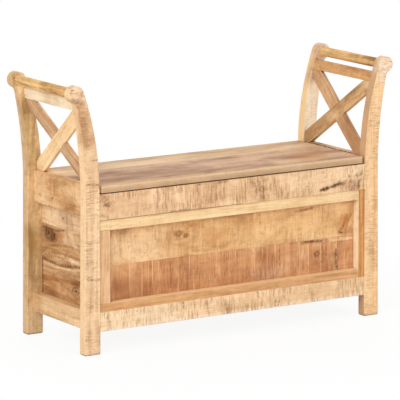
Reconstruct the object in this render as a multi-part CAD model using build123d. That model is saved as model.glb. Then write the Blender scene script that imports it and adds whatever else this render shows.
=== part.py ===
from build123d import *
import math
import os

# Overall sizes in millimetres, origin at the middle of the footprint on the floor
bench_length = 1030.0
bench_depth = 330.0
bench_height = 720.0
seat_height = 450.0
floor_clearance = 60.0
front = -bench_depth / 2

# Fits shared by every joint
joint_gap = 0.1
mortise_bottom_gap = 0.6
tenon_shoulder = 10.0
tenon_wall = 4.0
cut_overlap = 1.0

# Posts: planks sawn to a curved outline that ends in a round scroll
post_thick = 28.0
post_reach = 90.0
post_foot_width = 48.0
post_seat_width = 43.0
post_bend_drop = 7.0
post_arris = 2.0
foot_bevel = 3.0
scroll_radius = 22.0
scroll_join_angle = 158.0
inner_bend_sag = 11.2
outer_bend_sag = 5.8
neck_drop = 18.0
neck_offset = 2.9
neck_radius = 14.0
post_back = front + post_thick
post_inner = bench_length / 2 - post_reach
post_foot_outer = post_inner + post_foot_width
post_seat_outer = post_inner + post_seat_width
post_bend_height = seat_height - post_bend_drop
scroll_x = bench_length / 2 - scroll_radius
scroll_z = bench_height - scroll_radius

# Lid of three edge-glued boards on two battens
lid_thick = 19.5
lid_gap = 2.5
lid_rest_gap = 0.5
lid_end_gap = 5.0
lid_rear_inset = 15.0
lid_front_board = 106.0
lid_back_board = 104.0
lid_corner_radius = 7.0
lid_arris = 5.0
lid_low_arris = 2.5
batten_end_inset = 172.0
batten_wide = 44.0
batten_thick = 18.0
batten_end_gap = 13.0
batten_bevel = 4.0
batten_screw_edge = 17.0
batten_screw_half_pitch = 25.0
lid_high = seat_height
lid_low = lid_high - lid_thick
lid_half = post_inner - lid_end_gap
batten_x = lid_half - batten_end_inset
lid_rear = bench_depth / 2 - lid_rear_inset

# Long rails at the front and the back
rail_setback = 1.0
rail_arris = 2.5
top_rail_tall = 71.0
low_rail_tall = 52.0
rail_tenon_inset = 6.0
rail_tenon_thick = 8.0
rail_tenon_length = 24.0
rail_front = front + rail_setback
top_rail_high = lid_low - lid_gap
top_rail_low = top_rail_high - top_rail_tall
low_rail_low = floor_clearance
low_rail_high = low_rail_low + low_rail_tall
rail_tenon_front = front + rail_tenon_inset
rail_tenon_back = rail_tenon_front + rail_tenon_thick
lid_joint_front = rail_front + lid_front_board
lid_joint_back = lid_rear - lid_back_board

# End rails between the front and rear posts
end_rail_shift = 1.0
end_rail_thick = 24.0
end_rail_arris = 6.0
seat_rail_tall = 88.0
end_low_tall = 53.0
end_tenon_thick = 10.0
end_rail_inner = post_inner + end_rail_shift
end_rail_outer = end_rail_inner + end_rail_thick
seat_rail_high = seat_height
seat_rail_low = seat_rail_high - seat_rail_tall
end_low_low = floor_clearance
end_low_high = end_low_low + end_low_tall
end_tenon_inner = end_rail_inner + (end_rail_thick - end_tenon_thick) / 2
end_tenon_outer = end_tenon_inner + end_tenon_thick
end_tenon_length = post_back - rail_tenon_back - tenon_wall

# Arm infill, leaning outward with the posts
brace_width = 39.0
brace_thick = 12.0
brace_foot_shift = 13.0
brace_head_inset = 21.5
arm_rail_drop = 50.0
arm_rail_tall = 29.0
arm_rail_thick = 16.0
arm_rail_shift = 3.0
arm_tenon_thick = 8.0
arm_tenon_tall = 18.0
arm_tenon_length = 10.0
arm_arris = 2.0
bar_radius = 13.5
bar_stub_radius = 7.0
bar_stub_length = 14.0
arm_rail_low = scroll_z - arm_rail_drop
brace_outer_foot = post_inner + brace_foot_shift
brace_outer_head = scroll_x - brace_head_inset

# Panels fixed behind the rails, with the end boards reaching up to carry the lid's ends
board_thick = 12.0
panel_low_lap = 42.0
panel_high_lap = 63.0
front_lower_tall = 158.0
back_lower_tall = 180.0
end_lower_tall = 108.0
end_middle_tall = 127.0
panel_side_gap = 0.1
board_bevel = 1.0
panel_low = low_rail_high - panel_low_lap
panel_high = top_rail_low + panel_high_lap
end_panel_high = lid_low - lid_rest_gap
panel_half = end_rail_inner - board_thick - panel_side_gap
panel_inside = post_back + board_thick

# Strips framing the front panel
strip_setback = 5.0
top_strip_width = 28.0
low_strip_width = 22.0
left_strip_width = 34.0
right_strip_width = 18.0
strip_arris = 2.0
strip_front = front + strip_setback
strip_back = post_back

# Floor of the storage box and its bearers
bearer_rise = 14.0
bearer_tall = 22.0
bearer_deep = 20.0
bearer_screw_pitch = 220.0
bearer_screw_count = 4
floor_thick = 12.0
floor_board_count = 3
floor_edge_gap = 0.5
floor_board_gap = 1.0
bearer_low = low_rail_low + bearer_rise

# Butt hinges behind the lid
hinge_end_inset = 152.0
hinge_wide = 60.0
leaf_thick = 1.6
leaf_gap = 0.3
leaf_deep = 11.5
knuckle_radius = 3.5
knuckle_end_gap = 0.3
knuckle_clear = 0.4
knuckle_lid_gap = 0.5
hinge_pin_radius = 2.0
pin_running_gap = 0.05
hinge_screw_pitch = 22.0
hinge_x = lid_half - hinge_end_inset
leaf_front = lid_rear - leaf_deep
hinge_y = lid_rear + knuckle_lid_gap + knuckle_radius
hinge_z = top_rail_high + lid_gap / 2
knuckle_third = hinge_wide / 3
hinge_screw_y = leaf_front + leaf_deep / 2

# Countersunk wood screws
screw_head_radius = 3.0
screw_head_deep = 1.5
screw_shank_radius = 1.5
hinge_screw_long = 12.0
batten_screw_long = 30.0
bearer_screw_long = 38.0
screw_sink = 0.4

os.makedirs("parts", exist_ok=True)


def block(x0, x1, y0, y1, z0, z1):
    middle = Pos((x0 + x1) / 2, (y0 + y1) / 2, (z0 + z1) / 2)
    return middle * Box(abs(x1 - x0), abs(y1 - y0), abs(z1 - z0))


def save(shape, name):
    shape.label = name
    export_step(shape, "parts/" + name + ".step")


def flip_x(shape):
    return mirror(shape, about=Plane.YZ)


def flip_y(shape):
    return mirror(shape, about=Plane.XZ)


def edges_along(shape, axis):
    return shape.edges().filter_by(axis)


def near(edges, x=None, y=None, z=None, reach=0.05):
    found = []
    for edge in edges:
        c = edge.center()
        fits_x = x is None or abs(c.X - x) < reach
        fits_y = y is None or abs(c.Y - y) < reach
        fits_z = z is None or abs(c.Z - z) < reach
        if fits_x and fits_y and fits_z:
            found.append(edge)
    return found


def screw(length):
    # Head at the origin, pointing down
    head = Cone(screw_shank_radius, screw_head_radius, screw_head_deep,
                align=(Align.CENTER, Align.CENTER, Align.MAX))
    shank_long = length - screw_head_deep
    shank = Cylinder(screw_shank_radius, shank_long, align=(Align.CENTER, Align.CENTER, Align.MAX))
    return head + Pos(0, 0, -screw_head_deep) * shank


def cut_all(shape, tools):
    for tool in tools:
        shape = shape - tool
    return shape


# Joint bodies on the right front corner, used for both the tenons and the mortises

def rail_tenon(z0, z1, gap, extra):
    x1 = post_inner + rail_tenon_length + extra
    return block(post_inner - cut_overlap, x1, rail_tenon_front - gap, rail_tenon_back + gap,
                 z0 + tenon_shoulder - gap, z1 - tenon_shoulder + gap)


def end_tenon(z0, z1, gap, extra):
    y0 = post_back - end_tenon_length - extra
    return block(end_tenon_inner - gap, end_tenon_outer + gap, y0, post_back + cut_overlap,
                 z0 + tenon_shoulder - gap, z1 - tenon_shoulder + gap)


lean = math.atan2(brace_outer_head - brace_outer_foot, arm_rail_low - seat_rail_high)
arm_frame = Plane(origin=(brace_outer_foot, 0, seat_rail_high), x_dir=(0, 1, 0),
                  z_dir=(math.cos(lean), 0, -math.sin(lean)))
arm_reach = (arm_rail_low - seat_rail_high) / math.cos(lean)
arm_rail_mid_z = arm_reach + arm_rail_tall / 2
arm_rail_mid_w = arm_rail_shift - arm_rail_thick / 2


def arm_local(u0, u1, v0, v1, w0, w1):
    # u runs to the back, v up the lean and w outward from the braces' outer face
    middle = Pos((u0 + u1) / 2, (v0 + v1) / 2, (w0 + w1) / 2)
    return arm_frame * middle * Box(abs(u1 - u0), abs(v1 - v0), abs(w1 - w0))


def arm_tenon(gap, extra):
    half_tall = arm_tenon_tall / 2 + gap
    half_thick = arm_tenon_thick / 2 + gap
    return arm_local(post_back - arm_tenon_length - extra, post_back + cut_overlap,
                     arm_rail_mid_z - half_tall, arm_rail_mid_z + half_tall,
                     arm_rail_mid_w - half_thick, arm_rail_mid_w + half_thick)


def bar_stub(gap, extra):
    turned = Rotation(90, 0, 0)
    long = bar_stub_length + extra + cut_overlap
    middle_y = post_back + cut_overlap - long / 2
    return Pos(scroll_x, middle_y, scroll_z) * turned * Cylinder(bar_stub_radius + gap, long)


# Posts

def bend(start, end, sag):
    # Arc that bows towards the sitter's side of its chord
    run = end[0] - start[0]
    rise = end[1] - start[1]
    chord = math.hypot(run, rise)
    middle = ((start[0] + end[0]) / 2 - sag * rise / chord, (start[1] + end[1]) / 2 + sag * run / chord)
    return ThreePointArc(start, middle, end)


def make_post():
    join = math.radians(scroll_join_angle)
    outer_bend_end = (scroll_x + neck_offset, scroll_z - neck_drop)
    scroll_join = (scroll_x + scroll_radius * math.cos(join), scroll_z + scroll_radius * math.sin(join))
    foot = [
        Line((post_inner, post_bend_height), (post_inner, foot_bevel)),
        Line((post_inner, foot_bevel), (post_inner + foot_bevel, 0)),
        Line((post_inner + foot_bevel, 0), (post_foot_outer - foot_bevel, 0)),
        Line((post_foot_outer - foot_bevel, 0), (post_foot_outer, foot_bevel)),
        Line((post_foot_outer, foot_bevel), (post_seat_outer, post_bend_height)),
    ]
    head = [
        bend((post_seat_outer, post_bend_height), outer_bend_end, outer_bend_sag),
        Line(outer_bend_end, (scroll_x, scroll_z)),
        Line((scroll_x, scroll_z), scroll_join),
        bend((post_inner, post_bend_height), scroll_join, inner_bend_sag),
    ]
    stem = make_face(foot + head)
    outline = stem + Pos(scroll_x, scroll_z) * Circle(scroll_radius)
    plank = extrude(Plane.XZ * outline, amount=post_thick)
    plank = Pos(0, post_back, 0) * plank
    neck = [e for e in edges_along(plank, Axis.Y)
            if e.center().X > scroll_x and abs(e.center().Z - outer_bend_end[1]) < scroll_radius / 2]
    plank = fillet(neck, neck_radius)
    for side in (0, -1):
        plank = fillet(plank.faces().sort_by(Axis.Y)[side].edges(), post_arris)
    mortises = [
        rail_tenon(top_rail_low, top_rail_high, joint_gap, mortise_bottom_gap),
        rail_tenon(low_rail_low, low_rail_high, joint_gap, mortise_bottom_gap),
        end_tenon(seat_rail_low, seat_rail_high, joint_gap, mortise_bottom_gap),
        end_tenon(end_low_low, end_low_high, joint_gap, mortise_bottom_gap),
        arm_tenon(joint_gap, mortise_bottom_gap),
        bar_stub(joint_gap, mortise_bottom_gap),
    ]
    return cut_all(plank, mortises)


post = make_post()
save(post, "post_front_right")
save(flip_x(post), "post_front_left")
save(flip_y(post), "post_rear_right")
save(flip_x(flip_y(post)), "post_rear_left")


# Long rails

def make_rail(z0, z1):
    body = block(-post_inner, post_inner, rail_front, post_back, z0, z1)
    body = fillet(near(edges_along(body, Axis.X), y=rail_front), rail_arris)
    tenon = rail_tenon(z0, z1, 0.0, 0.0)
    return body + tenon + flip_x(tenon)


def hinge_gain(side):
    x0 = side * hinge_x - hinge_wide / 2 - joint_gap
    x1 = side * hinge_x + hinge_wide / 2 + joint_gap
    leaf_low = hinge_z - leaf_gap / 2 - leaf_thick
    plate = block(x0, x1, leaf_front - joint_gap, hinge_y, leaf_low, lid_low + cut_overlap)
    low = hinge_z - knuckle_radius - knuckle_clear
    knuckle = block(x0, x1, hinge_y - knuckle_radius - knuckle_clear, -rail_front + cut_overlap,
                    low, lid_low + cut_overlap)
    return plate + knuckle


def hinge_screw_places():
    places = []
    for side in (-1, 1):
        for step in (-1, 0, 1):
            places.append(side * hinge_x + step * hinge_screw_pitch)
    return places


frame_screw_top = hinge_z - leaf_gap / 2
lid_screw_low = hinge_z + leaf_gap / 2
turned_up = Rotation(180, 0, 0)
frame_screws = [Pos(x, hinge_screw_y, frame_screw_top) * screw(hinge_screw_long)
                for x in hinge_screw_places()]
lid_screws = [Pos(x, hinge_screw_y, lid_screw_low) * turned_up * screw(hinge_screw_long)
              for x in hinge_screw_places()]

rail_front_top = make_rail(top_rail_low, top_rail_high)
rail_front_low = make_rail(low_rail_low, low_rail_high)
rail_back_top = flip_y(rail_front_top)
rail_back_low = flip_y(rail_front_low)
rail_back_top = cut_all(rail_back_top, [hinge_gain(-1), hinge_gain(1)] + frame_screws)
save(rail_front_top, "rail_front_top")
save(rail_back_top, "rail_back_top")


# End rails

def make_end_rail(z0, z1):
    body = block(end_rail_inner, end_rail_outer, post_back, -post_back, z0, z1)
    outer_edges = near(edges_along(body, Axis.Y), x=end_rail_outer)
    body = fillet(outer_edges, end_rail_arris)
    tenon = end_tenon(z0, z1, 0.0, 0.0)
    return body + tenon + flip_y(tenon)


seat_rail = make_end_rail(seat_rail_low, seat_rail_high)
end_low_rail = make_end_rail(end_low_low, end_low_high)
save(seat_rail, "rail_seat_end_right")
save(flip_x(seat_rail), "rail_seat_end_left")
save(end_low_rail, "rail_low_end_right")
save(flip_x(end_low_rail), "rail_low_end_left")


# Arms: a round bar, a flat rail and a half-lapped cross under it

def make_bar():
    long = -2 * post_back
    body = Pos(scroll_x, 0, scroll_z) * Rotation(90, 0, 0) * Cylinder(bar_radius, long)
    stub = bar_stub(0.0, 0.0)
    return body + stub + flip_y(stub)


def make_arm_rail():
    body = arm_local(post_back, -post_back, arm_reach, arm_reach + arm_rail_tall,
                     arm_rail_shift - arm_rail_thick, arm_rail_shift)
    body = fillet(edges_along(body, Axis.Y), arm_arris)
    tenon = arm_tenon(0.0, 0.0)
    return body + tenon + flip_y(tenon)


def make_brace(rising):
    # rising is 1 for the brace that climbs to the front and -1 for the other
    run = -2 * post_back
    slope = math.degrees(math.atan2(arm_reach, run))
    board = Box(run * 2, brace_width, brace_thick)
    long_edges = [e for e in board.edges().filter_by(Axis.X) if e.center().Z > 0]
    board = fillet(long_edges, arm_arris / 2)
    placed = Pos(0, arm_reach / 2, -brace_thick / 2) * Rotation(0, 0, -rising * slope) * board
    window = arm_local(post_back, -post_back, -brace_thick, arm_reach, -brace_thick, 0.0)
    above_seat = block(0, bench_length, post_back, -post_back, seat_rail_high, bench_height)
    return (arm_frame * placed) & window & above_seat


def lap_half(outer):
    # Half of the brace thickness over the whole crossing
    low = -brace_thick / 2 if outer else -brace_thick
    return arm_local(post_back, -post_back, 0.0, arm_reach, low, low + brace_thick / 2)


def make_braces(rising_outside):
    rising = make_brace(1)
    falling = make_brace(-1)
    crossing = rising & falling
    rising_cut = rising - (crossing & lap_half(not rising_outside))
    falling_cut = falling - (crossing & lap_half(rising_outside))
    return rising_cut, falling_cut


bar = make_bar()
arm_rail = make_arm_rail()
save(bar, "arm_bar_right")
save(flip_x(bar), "arm_bar_left")
save(arm_rail, "arm_rail_right")
save(flip_x(arm_rail), "arm_rail_left")
right_rising, right_falling = make_braces(False)
left_rising, left_falling = make_braces(True)
save(right_rising, "brace_rising_right")
save(right_falling, "brace_falling_right")
save(flip_x(left_rising), "brace_rising_left")
save(flip_x(left_falling), "brace_falling_left")


# Panels

front_board_joint = panel_low + front_lower_tall
back_board_joint = panel_low + back_lower_tall


def front_board(z0, z1):
    board = block(-panel_half, panel_half, post_back, panel_inside, z0, z1)
    return chamfer(near(edges_along(board, Axis.X), y=post_back), board_bevel)


bearer_screw_x = [(i - (bearer_screw_count - 1) / 2) * bearer_screw_pitch for i in range(bearer_screw_count)]
bearer_back = panel_inside + bearer_deep
bearer_mid = bearer_low + bearer_tall / 2


def bearer_screws():
    # The head sits just under the bearer's inner face and the point goes into the front rail
    along = Rotation(-90, 0, 0)
    return [Pos(x, bearer_back - screw_sink, bearer_mid) * along * screw(bearer_screw_long)
            for x in bearer_screw_x]


def bearer_screw_room():
    along = Rotation(-90, 0, 0)
    sink = Cylinder(screw_head_radius, screw_sink, align=(Align.CENTER, Align.CENTER, Align.MIN))
    return [Pos(x, bearer_back - screw_sink, bearer_mid) * along * (screw(bearer_screw_long) + sink)
            for x in bearer_screw_x]


front_lower = cut_all(front_board(panel_low, front_board_joint), bearer_screw_room())
save(front_lower, "panel_front_lower")
save(front_board(front_board_joint, panel_high), "panel_front_upper")
back_lower = flip_y(cut_all(front_board(panel_low, back_board_joint), bearer_screw_room()))
save(back_lower, "panel_back_lower")
save(flip_y(front_board(back_board_joint, panel_high)), "panel_back_upper")
save(cut_all(rail_front_low, bearer_screws()), "rail_front_low")
rail_back_low = cut_all(rail_back_low, [flip_y(s) for s in bearer_screws()])
save(rail_back_low, "rail_back_low")


def end_board(z0, z1):
    y1 = -post_back - panel_side_gap
    board = block(end_rail_inner - board_thick, end_rail_inner, post_back + panel_side_gap, y1, z0, z1)
    return chamfer(near(edges_along(board, Axis.Y), x=end_rail_inner), board_bevel)


end_lower_top = panel_low + end_lower_tall
end_levels = (panel_low, end_lower_top, end_lower_top + end_middle_tall, end_panel_high)
end_names = ("lower", "middle", "upper")
for index, name in enumerate(end_names):
    board = end_board(end_levels[index], end_levels[index + 1])
    save(board, "panel_right_" + name)
    save(flip_x(board), "panel_left_" + name)


# Strips round the front panel

left_strip_x = -post_inner + left_strip_width
right_strip_x = post_inner - right_strip_width
top_strip_low = top_rail_low - top_strip_width
low_strip_high = low_rail_high + low_strip_width


def strip(x0, x1, z0, z1, axis, inner_x=None, inner_z=None):
    body = block(x0, x1, strip_front, strip_back, z0, z1)
    edges = near(edges_along(body, axis), x=inner_x, y=strip_front, z=inner_z)
    return fillet(edges, strip_arris)


strip_left = strip(-post_inner, left_strip_x, low_strip_high, top_strip_low, Axis.Z, inner_x=left_strip_x)
strip_right = strip(right_strip_x, post_inner, low_rail_high, top_rail_low, Axis.Z, inner_x=right_strip_x)
strip_top = strip(-post_inner, right_strip_x, top_strip_low, top_rail_low, Axis.X, inner_z=top_strip_low)
strip_low = strip(-post_inner, right_strip_x, low_rail_high, low_strip_high, Axis.X, inner_z=low_strip_high)
save(strip_left, "strip_left")
save(strip_right, "strip_right")
save(strip_top, "strip_top")
save(strip_low, "strip_low")


# Floor

bearer = block(-panel_half, panel_half, panel_inside, bearer_back, bearer_low, bearer_low + bearer_tall)
bearer = cut_all(bearer, bearer_screw_room())
save(bearer, "bearer_front")
save(flip_y(bearer), "bearer_back")
all_bearer_screws = bearer_screws() + [flip_y(s) for s in bearer_screws()]
save(Compound(children=all_bearer_screws), "screws_bearer")

floor_low = bearer_low + bearer_tall
floor_half = -panel_inside - floor_edge_gap
floor_pitch = (2 * floor_half + floor_board_gap) / floor_board_count
floor_names = ("front", "middle", "back")
for index, name in enumerate(floor_names):
    y0 = -floor_half + index * floor_pitch
    board = block(-panel_half, panel_half, y0, y0 + floor_pitch - floor_board_gap,
                  floor_low, floor_low + floor_thick)
    save(board, "floor_" + name)


# Lid

def lid_board(y0, y1):
    return block(-lid_half, lid_half, y0, y1, lid_low, lid_high)


def rim(board, level, joint_y):
    # Edges of the top (-1) or bottom (0) face, without the glued edge
    face = board.faces().sort_by(Axis.Z)[level]
    return [e for e in face.edges() if abs(e.center().Y - joint_y) > joint_gap]


batten_half_depth = -panel_inside - batten_end_gap
batten_screw_far = batten_half_depth - batten_screw_edge
lid_middle_y = (lid_joint_front + lid_joint_back) / 2
batten_screw_y = (-batten_screw_far, lid_middle_y - batten_screw_half_pitch,
                  lid_middle_y + batten_screw_half_pitch, batten_screw_far)
batten_screw_z = lid_low - batten_thick + screw_sink


def batten_screws(side):
    return [Pos(side * batten_x, y, batten_screw_z) * turned_up * screw(batten_screw_long)
            for y in batten_screw_y]


def batten_screw_room(side):
    sink = Cylinder(screw_head_radius, screw_sink, align=(Align.CENTER, Align.CENTER, Align.MAX))
    return batten_screws(side) + [Pos(side * batten_x, y, batten_screw_z) * sink for y in batten_screw_y]


def lid_leaf_gain(side):
    x0 = side * hinge_x - hinge_wide / 2 - joint_gap
    x1 = side * hinge_x + hinge_wide / 2 + joint_gap
    leaf_high = hinge_z + leaf_gap / 2 + leaf_thick
    return block(x0, x1, leaf_front - joint_gap, lid_rear + cut_overlap, lid_low - cut_overlap, leaf_high)


all_batten_screws = batten_screws(-1) + batten_screws(1)
lid_front = lid_board(rail_front, lid_joint_front)
lid_front = fillet(near(edges_along(lid_front, Axis.Z), y=rail_front), lid_corner_radius)
lid_front = fillet(rim(lid_front, -1, lid_joint_front), lid_arris)
lid_front = fillet(rim(lid_front, 0, lid_joint_front), lid_low_arris)
lid_middle = lid_board(lid_joint_front, lid_joint_back)
lid_middle = fillet(near(edges_along(lid_middle, Axis.Y), z=lid_high), lid_arris)
lid_middle = fillet(near(edges_along(lid_middle, Axis.Y), z=lid_low), lid_low_arris)
lid_back = lid_board(lid_joint_back, lid_rear)
lid_back = fillet(rim(lid_back, -1, lid_joint_back), lid_arris)
lid_back = fillet(near(edges_along(lid_back, Axis.Y), z=lid_low), lid_low_arris)
lid_back = cut_all(lid_back, [lid_leaf_gain(-1), lid_leaf_gain(1)] + lid_screws)
save(cut_all(lid_front, all_batten_screws), "lid_board_front")
save(cut_all(lid_middle, all_batten_screws), "lid_board_middle")
save(cut_all(lid_back, all_batten_screws), "lid_board_back")

for side, name in ((-1, "left"), (1, "right")):
    x0 = side * batten_x - batten_wide / 2
    x1 = side * batten_x + batten_wide / 2
    batten = block(x0, x1, -batten_half_depth, batten_half_depth, lid_low - batten_thick, lid_low)
    low_edges = near(batten.edges(), z=lid_low - batten_thick)
    batten = chamfer(low_edges, batten_bevel)
    save(cut_all(batten, batten_screw_room(side)), "lid_batten_" + name)
save(Compound(children=all_batten_screws), "screws_batten")


# Hinges

def knuckle(x0, x1, bore_radius):
    turned = Rotation(0, 90, 0)
    middle = Pos((x0 + x1) / 2, hinge_y, hinge_z)
    return middle * turned * (Cylinder(knuckle_radius, x1 - x0) - Cylinder(bore_radius, x1 - x0))


def leaf_plate(x0, x1, low, y1):
    return block(x0, x1, leaf_front, y1, low, low + leaf_thick)


def make_frame_leaf(side):
    x0 = side * hinge_x - hinge_wide / 2
    x1 = x0 + hinge_wide
    low = hinge_z - leaf_gap / 2 - leaf_thick
    leaf = leaf_plate(x0, x1, low, hinge_y - knuckle_radius - knuckle_clear)
    bore = Pos(side * hinge_x, hinge_y, hinge_z) * Rotation(0, 90, 0) * Cylinder(hinge_pin_radius, hinge_wide)
    for start in (x0, x1 - knuckle_third):
        leaf = leaf + leaf_plate(start, start + knuckle_third, low, hinge_y)
        leaf = leaf + knuckle(start, start + knuckle_third, hinge_pin_radius)
    return cut_all(leaf - bore, frame_screws)


def make_lid_leaf(side):
    x0 = side * hinge_x - hinge_wide / 2
    x1 = x0 + hinge_wide
    low = hinge_z + leaf_gap / 2
    leaf = leaf_plate(x0, x1, low, hinge_y - knuckle_radius - knuckle_clear)
    m0 = x0 + knuckle_third + knuckle_end_gap
    m1 = x1 - knuckle_third - knuckle_end_gap
    leaf = leaf + leaf_plate(m0, m1, low, hinge_y)
    leaf = leaf + knuckle(m0, m1, hinge_pin_radius + pin_running_gap)
    bore = Pos(side * hinge_x, hinge_y, hinge_z) * Rotation(0, 90, 0)
    bore = bore * Cylinder(hinge_pin_radius + pin_running_gap, hinge_wide)
    return cut_all(leaf - bore, lid_screws)


for side, name in ((-1, "left"), (1, "right")):
    save(make_frame_leaf(side), "hinge_frame_leaf_" + name)
    save(make_lid_leaf(side), "hinge_lid_leaf_" + name)
    pin = Pos(side * hinge_x, hinge_y, hinge_z) * Rotation(0, 90, 0) * Cylinder(hinge_pin_radius, hinge_wide)
    save(pin, "hinge_pin_" + name)
save(Compound(children=frame_screws), "screws_hinge_frame")
save(Compound(children=lid_screws), "screws_hinge_lid")
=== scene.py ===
import math

import bpy
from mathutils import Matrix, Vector


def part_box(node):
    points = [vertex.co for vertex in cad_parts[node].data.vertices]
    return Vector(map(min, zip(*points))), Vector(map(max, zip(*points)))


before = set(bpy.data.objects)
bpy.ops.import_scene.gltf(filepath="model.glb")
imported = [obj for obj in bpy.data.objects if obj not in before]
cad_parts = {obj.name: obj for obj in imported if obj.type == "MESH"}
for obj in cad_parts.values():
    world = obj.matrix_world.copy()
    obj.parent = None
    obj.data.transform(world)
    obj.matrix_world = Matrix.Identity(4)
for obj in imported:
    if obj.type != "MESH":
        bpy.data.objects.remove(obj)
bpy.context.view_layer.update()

X = Vector((1, 0, 0))
Y = Vector((0, 1, 0))
Z = Vector((0, 0, 1))

# Camera, in metres and radians, at the photograph's viewing angle
CAMERA_PLACE = (-5.0007, -7.7788, 2.0973)
CAMERA_YAW = 0.5706
CAMERA_PITCH = -0.1873
CAMERA_LENS = 311.08
CAMERA_SENSOR = 36.0
CAMERA_FAR = 200.0

# Stage and light
FLOOR_HALF = 40.0
FLOOR_TONE = (0.9, 0.9, 0.9, 1.0)
FLOOR_SHADOW = 0.09
SHADOW_NEAR = 0.6
SHADOW_FAR = 1.6
AMBIENT = 0.36
LIGHT_AIM = Vector((0.0, 0.0, 0.4))
LIGHTS = {
    # name: place, power in watts, side of the square lamp
    "key_left": (Vector((-3.3, -2.0, 2.2)), 125.0, 2.6),
    "fill_front": (Vector((1.2, -3.6, 1.7)), 52.0, 2.6),
    "top_soft": (Vector((0.2, 0.5, 3.2)), 22.0, 3.0),
    "rear_soft": (Vector((1.8, 3.2, 1.9)), 80.0, 2.6),
}


def rgb(red, green, blue):
    """A screen colour of 0 to 255 as Blender's linear colour."""
    def linear(value):
        share = value / 255
        return share / 12.92 if share <= 0.04045 else ((share + 0.055) / 1.055) ** 2.4
    return (linear(red), linear(green), linear(blue), 1.0)


# Colours of the raw wood and the marks on it
WHITE = (1.0, 1.0, 1.0, 1.0)
PALE = rgb(250, 218, 172)
CREAM = rgb(237, 201, 156)
TAN = rgb(196, 162, 126)
OCHRE = rgb(190, 144, 76)
OLIVE = rgb(150, 118, 72)
KNOT = rgb(84, 54, 38)
# Dark colour of real cracks, also used for painted shade lines in gaps
CRACK_AND_GAP_SHADE = rgb(74, 46, 30)
RUST = rgb(196, 126, 66)
UMBER = rgb(142, 96, 58)
ROSE = rgb(164, 114, 92)
GREY = rgb(140, 112, 92)
# Painted shade colour, for corners, gaps and round the feet
SHADE_BROWN = rgb(70, 42, 22)
SAW_BROWN = rgb(150, 100, 62)
SAW_RED = rgb(138, 82, 50)

# How close and how long the saw marks are, per metre along the grain, across it and through the board
RAIL_SAW = (300.0, 32.0, 32.0)
POST_SAW = (400.0, 50.0, 50.0)


class Look:
    """How one kind of board looks: its three tones, the strength of each pattern and the tone of one face,
    which on the strips is painted light and on the front right post painted shade.
    """

    def __init__(self, light, middle, dark, saw=0.5, saw_colour=SAW_BROWN, saw_scale=RAIL_SAW, long_saw=0.8,
                 mottle=0.4, stripes=0.2, ridges=0.0, streaks=0.1, blotch=0.3, rings=0.12, fibre=0.2,
                 stretch=1.0, face=None):
        self.light = rgb(*light)
        self.middle = rgb(*middle)
        self.dark = rgb(*dark)
        self.saw = saw
        self.saw_colour = saw_colour
        self.saw_scale = saw_scale
        self.long_saw = long_saw
        self.mottle = mottle
        self.stripes = stripes
        self.ridges = ridges
        self.streaks = streaks
        self.blotch = blotch
        self.rings = rings
        self.fibre = fibre
        self.stretch = stretch
        self.face = face


def post_look(light, middle, dark, **settings):
    """A post, with short and close saw marks."""
    usual = {"saw_scale": POST_SAW, "long_saw": 0.3, "streaks": 0.4}
    return Look(light, middle, dark, **{**usual, **settings})


def grain_look(light, middle, dark, **settings):
    """A planed board, whose grain shows more than its saw marks."""
    usual = {"saw": 0.1, "streaks": 0.45, "rings": 0.35, "fibre": 0.4}
    return Look(light, middle, dark, **{**usual, **settings})


POST_PALE = post_look((244, 209, 170), (224, 188, 148), (194, 154, 114), saw=0.8, face=(-X, CREAM, 0.8))
# The inner side of this post is given a darker tone as painted shade
POST_HONEY = post_look((250, 214, 168), (240, 199, 152), (210, 165, 118), saw=0.75,
                       face=(-X, rgb(186, 150, 114), 0.8))
POST_BROWN = post_look((232, 198, 150), (212, 176, 126), (166, 130, 84), saw=0.3, mottle=1.0, blotch=0.5,
                       face=(-X, rgb(206, 170, 132), 0.7))
POST_CREAM = post_look((255, 242, 218), (250, 230, 200), (230, 200, 164), saw=0.3,
                       face=(-X, rgb(244, 204, 146), 0.85))
RAIL_TOP = Look((246, 210, 168), (228, 190, 148), (186, 142, 104), saw=1.0, blotch=0.4, stripes=0.35)
RAIL_LOW = Look((252, 222, 182), (240, 206, 164), (200, 158, 116), saw=0.9, stripes=0.35)
RAIL_END = grain_look((234, 194, 148), (212, 168, 120), (166, 118, 76), saw=0.3, mottle=0.8, blotch=0.5,
                      streaks=0.2, rings=0.2, fibre=0.2)
RAIL_END_LOW = grain_look((242, 206, 162), (222, 184, 138), (188, 144, 98), saw=0.4)
PANEL_HONEY = Look((240, 200, 148), (224, 178, 126), (180, 130, 82), saw=0.5, mottle=0.8, stripes=0.35,
                   blotch=0.4, ridges=0.15)
PANEL_RUST = Look((230, 180, 134), (204, 147, 100), (160, 106, 72), saw=0.7, saw_colour=SAW_RED,
                  stripes=0.5, ridges=0.7, streaks=0.04, fibre=0.08, rings=0.05)
PANEL_PALE = grain_look((236, 200, 158), (218, 182, 142), (184, 142, 102), saw=0.25)
PANEL_TAN = grain_look((214, 172, 126), (190, 145, 101), (142, 99, 64), mottle=0.9, blotch=0.5)
PANEL_CHESTNUT = grain_look((208, 160, 114), (182, 132, 86), (136, 90, 56), mottle=0.9, blotch=0.4)
STRIP_PALE = grain_look((241, 214, 168), (230, 196, 148), (207, 167, 117), blotch=0.1, rings=0.1)
STRIP_CREAM = grain_look((238, 198, 156), (222, 180, 138), (192, 146, 102), blotch=0.2)
# The top face of the low strip is painted pale as painted light from above
STRIP_TAN = grain_look((222, 176, 126), (206, 156, 108), (178, 126, 82), blotch=0.2, face=(Z, PALE, 0.7))
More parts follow.
